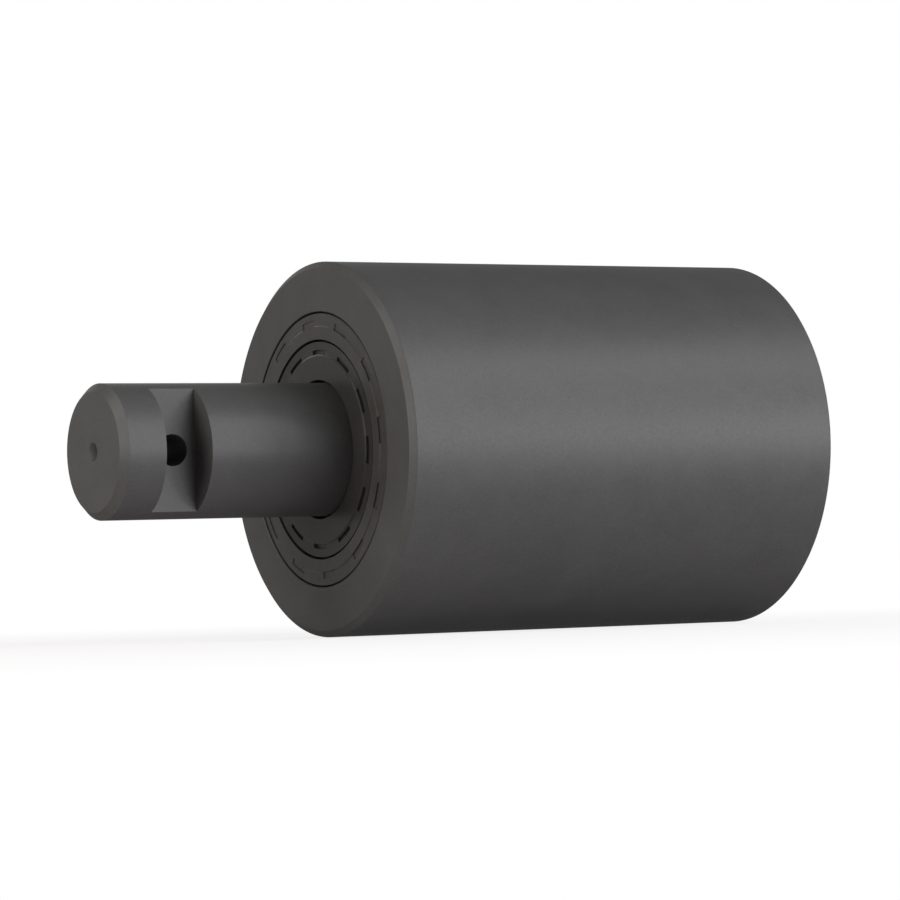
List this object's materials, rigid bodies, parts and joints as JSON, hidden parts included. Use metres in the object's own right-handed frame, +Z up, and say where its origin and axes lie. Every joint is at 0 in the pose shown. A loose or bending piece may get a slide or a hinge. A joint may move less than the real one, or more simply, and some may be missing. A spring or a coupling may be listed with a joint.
{
  "type": "conveyor support roller on a one-sided axle",
  "caption": "Dark steel support roller that turns on two ball bearings on a fixed axle, with a cassette seal, and a keeper notch and lock bolt hole in the axle's free end.",
  "frame": {"origin": "on the axle's axis, in the plane of the roller's open end face, inside the length of the axle's plain seat", "axes": "+X along the axle towards the closed end, -X out of the axle's free end, -Y out of the keeper notch, +Z up"},
  "size_m": [0.1675, 0.0844, 0.0844],
  "materials": {
    "oxided_steel": "matt black oxide on fine-turned steel",
    "oxided_axle_steel": "matt black oxide on ground steel",
    "oxided_cover_steel": "matt black oxide on turned steel",
    "seal_rubber": "moulded nitrile rubber, matt",
    "o_ring_rubber": "nitrile rubber cord",
    "spring_steel": "phosphated spring steel",
    "washer_steel": "ground steel",
    "bearing_steel": "ground bearing steel",
    "polished_ball_steel": "lapped bearing steel",
    "pressed_cage_steel": "pressed strip steel",
    "rivet_steel": "soft rivet wire",
    "plug_steel": "blackened screw plug",
    "washer_copper": "soft copper"
  },
  "bodies": {
    "axle": {"axle": "oxided_axle_steel", "axle_o_ring": "o_ring_rubber", "seal_sleeve": "seal_rubber", "front_inner_ring": "bearing_steel", "rear_inner_ring": "bearing_steel", "axle_circlip": "spring_steel", "support_washer": "washer_steel"},
    "roller": {"roller_shell": "oxided_steel", "seal_case": "seal_rubber", "seal_spring": "spring_steel", "bearing_retaining_ring": "spring_steel", "front_outer_ring": "bearing_steel", "rear_outer_ring": "bearing_steel", "end_cover": "oxided_cover_steel", "cover_o_ring": "o_ring_rubber", "cover_retaining_ring": "spring_steel", "fill_plug": "plug_steel", "plug_washer": "washer_copper"},
    "front_ball_set": {"front_balls": "polished_ball_steel", "front_cage_open_side": "pressed_cage_steel", "front_cage_closed_side": "pressed_cage_steel", "front_cage_rivets": "rivet_steel"},
    "rear_ball_set": {"rear_balls": "polished_ball_steel", "rear_cage_open_side": "pressed_cage_steel", "rear_cage_closed_side": "pressed_cage_steel", "rear_cage_rivets": "rivet_steel"}
  },
  "joints": [
    {"name": "roller_spin", "type": "hinge", "parent": "axle", "child": "roller", "pos_m": [0, 0, 0], "axis": [1, 0, 0], "continuous": true},
    {"name": "front_ball_set_spin", "type": "hinge", "parent": "axle", "child": "front_ball_set", "pos_m": [0.02065, 0, 0], "axis": [1, 0, 0], "continuous": true},
    {"name": "rear_ball_set_spin", "type": "hinge", "parent": "axle", "child": "rear_ball_set", "pos_m": [0.08395, 0, 0], "axis": [1, 0, 0], "continuous": true}
  ],
  "couplings": [
    {"joint": "front_ball_set_spin", "follows": "roller_spin", "ratio": 0.60353},
    {"joint": "rear_ball_set_spin", "follows": "roller_spin", "ratio": 0.60353}
  ]
}
